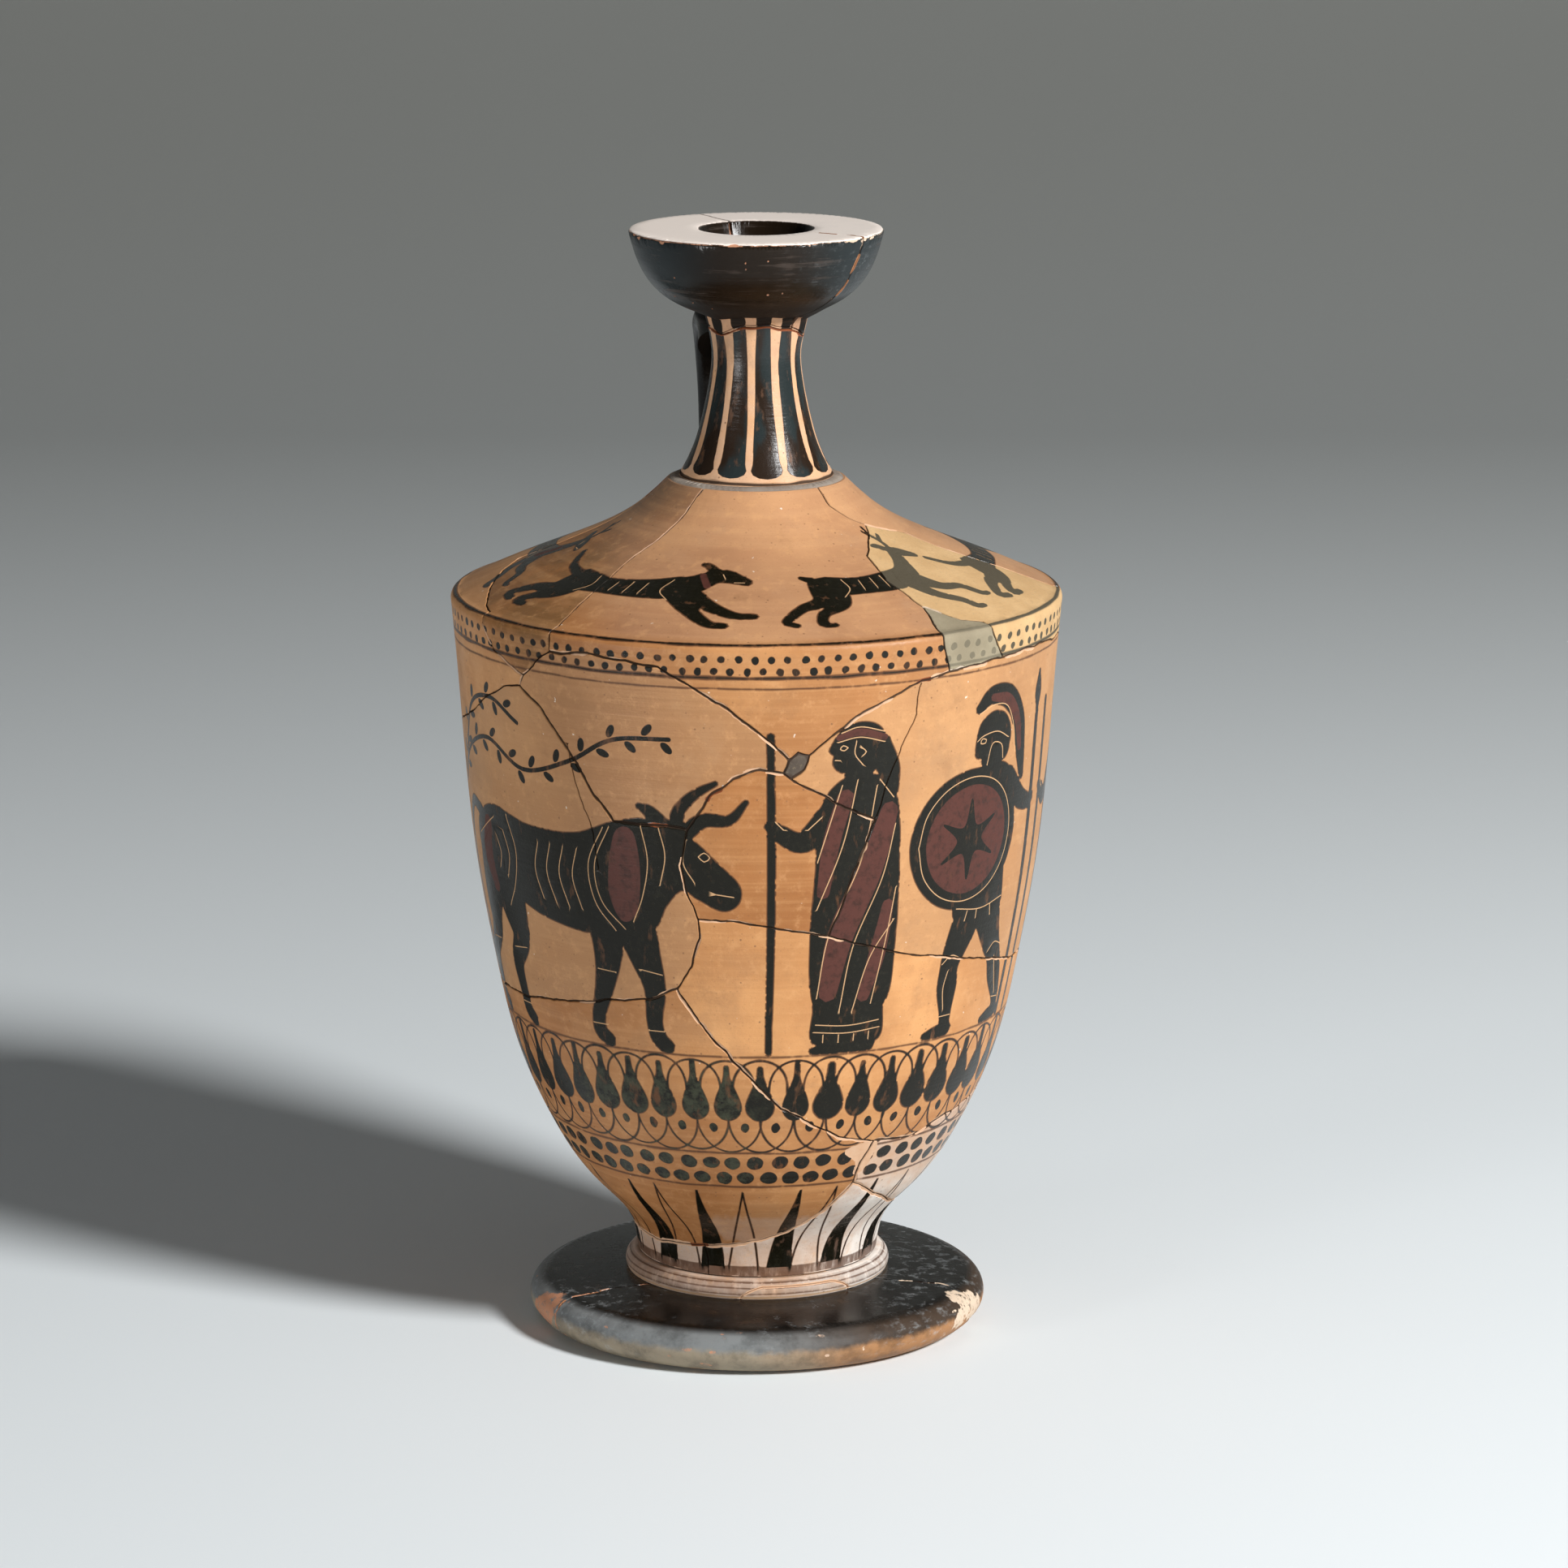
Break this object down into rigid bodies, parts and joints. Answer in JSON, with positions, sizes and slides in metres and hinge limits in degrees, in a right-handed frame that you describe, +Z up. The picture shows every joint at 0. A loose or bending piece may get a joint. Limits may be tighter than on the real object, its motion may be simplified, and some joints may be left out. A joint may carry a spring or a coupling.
{
  "type": "shoulder lekythos",
  "caption": "Tall oil flask of fired clay with a narrow neck, bowl mouth, back strap handle, sloping shoulder, tapering body and disc foot, mended from sherds; stores and pours oil.",
  "frame": {"origin": "centre of the resting face under the foot", "axes": "+Z up along the axis of the wheel; -Y is the front that the picture shows, +X to its right"},
  "size_m": [0.12, 0.12, 0.2192],
  "materials": {
    "painted_clay": "smooth burnished orange clay with black-gloss figures and ornament",
    "black_gloss": "black clay gloss, worn to brown and clay at the edges",
    "plaster_fill": "matt tinted plaster"
  },
  "bodies": {
    "root": {"back_lower_sherd": "painted_clay", "back_upper_sherd": "painted_clay", "base_sherd": "painted_clay", "base_fillet_chip": "painted_clay", "lower_left_sherd": "painted_clay", "lower_right_sherd": "painted_clay", "lower_small_sherd": "painted_clay", "shoulder_front_sherd": "painted_clay", "shoulder_left_sherd": "painted_clay", "wall_centre_sherd": "painted_clay", "wall_front_sherd": "painted_clay", "wall_left_sherd": "painted_clay", "wall_right_sherd": "painted_clay", "neck": "painted_clay", "mouth_front_sherd": "black_gloss", "mouth_back_sherd": "black_gloss", "handle": "black_gloss", "foot_front_sherd": "black_gloss", "foot_back_sherd": "black_gloss", "shoulder_fill": "plaster_fill", "band_fill": "plaster_fill", "chip_fill": "plaster_fill", "neck_seat_fill": "plaster_fill"}
  },
  "joints": []
}
